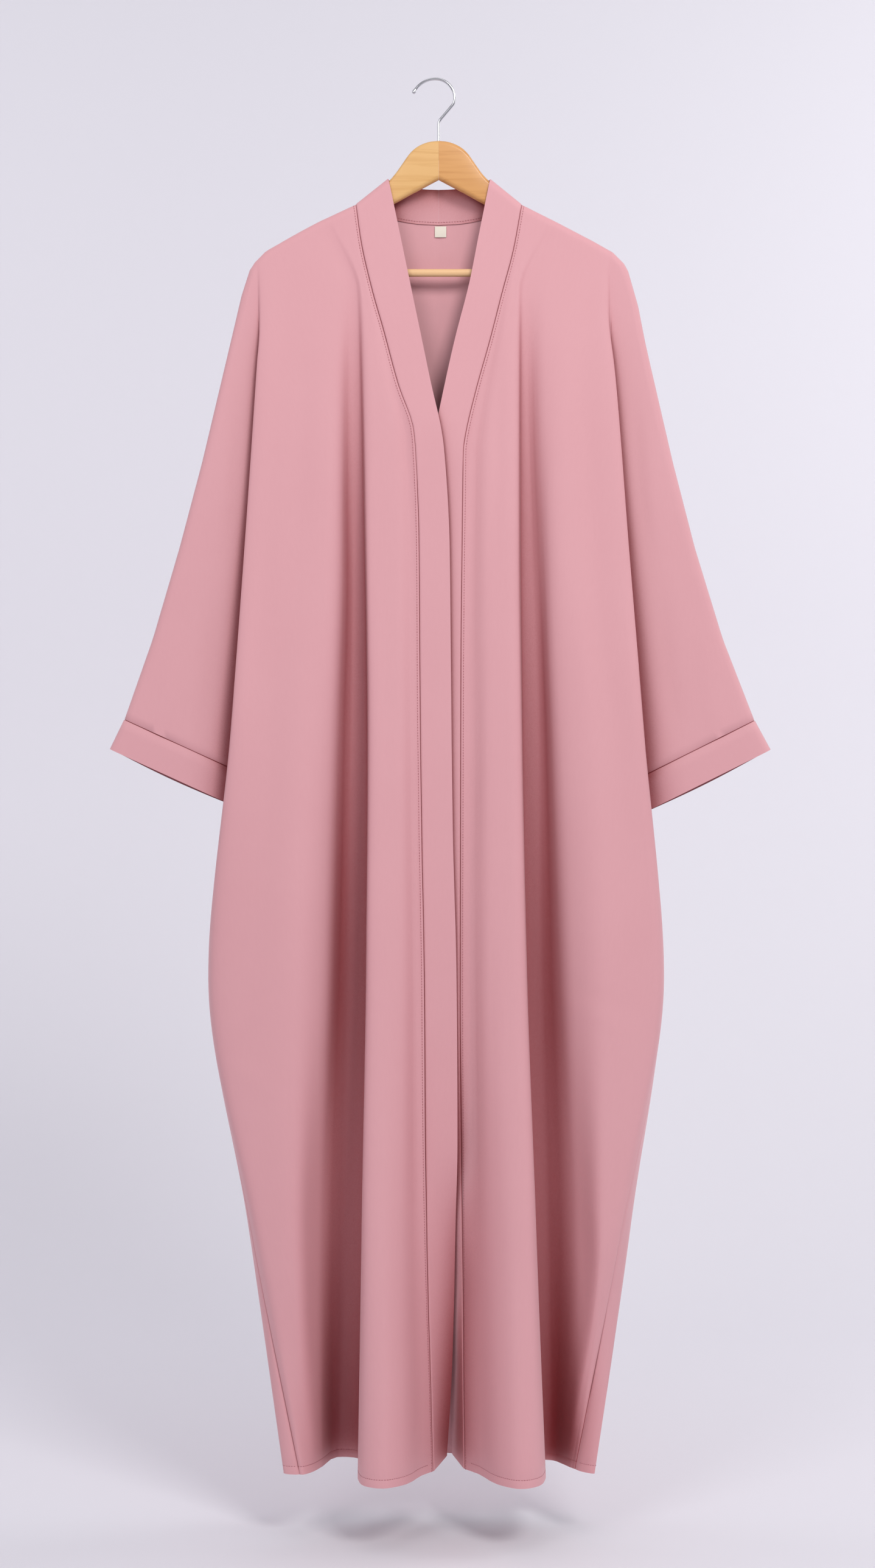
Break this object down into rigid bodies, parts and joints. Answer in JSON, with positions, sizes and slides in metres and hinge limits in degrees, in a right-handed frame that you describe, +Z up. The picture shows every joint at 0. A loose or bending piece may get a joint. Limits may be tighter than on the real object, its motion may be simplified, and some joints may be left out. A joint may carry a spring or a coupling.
{
  "type": "open-front abaya on a wooden hanger",
  "caption": "Long open-front abaya with wide cut-in-one sleeves, cuffs and a front band, hanging on a wooden hanger with a wire hook.",
  "frame": {"origin": "the highest point inside the hook, where a rail carries the hanger", "axes": "+Z up, -Y the front of the garment, +X the wearer's left"},
  "size_m": [0.7599, 0.1746, 1.5962],
  "materials": {
    "cloth": "dusty rose crepe with a soft sheen",
    "label": "woven, bare",
    "wood": "clear satin lacquer",
    "wire": "polished"
  },
  "bodies": {
    "root": {"front_right": "cloth", "front_left": "cloth", "back": "cloth", "band_right": "cloth", "band_left": "cloth", "cuff_right": "cloth", "cuff_left": "cloth", "neck_label": "label", "hanger_hook": "wire", "hanger_arm_right": "wood", "hanger_arm_left": "wood", "hanger_bar": "wood"}
  },
  "joints": []
}
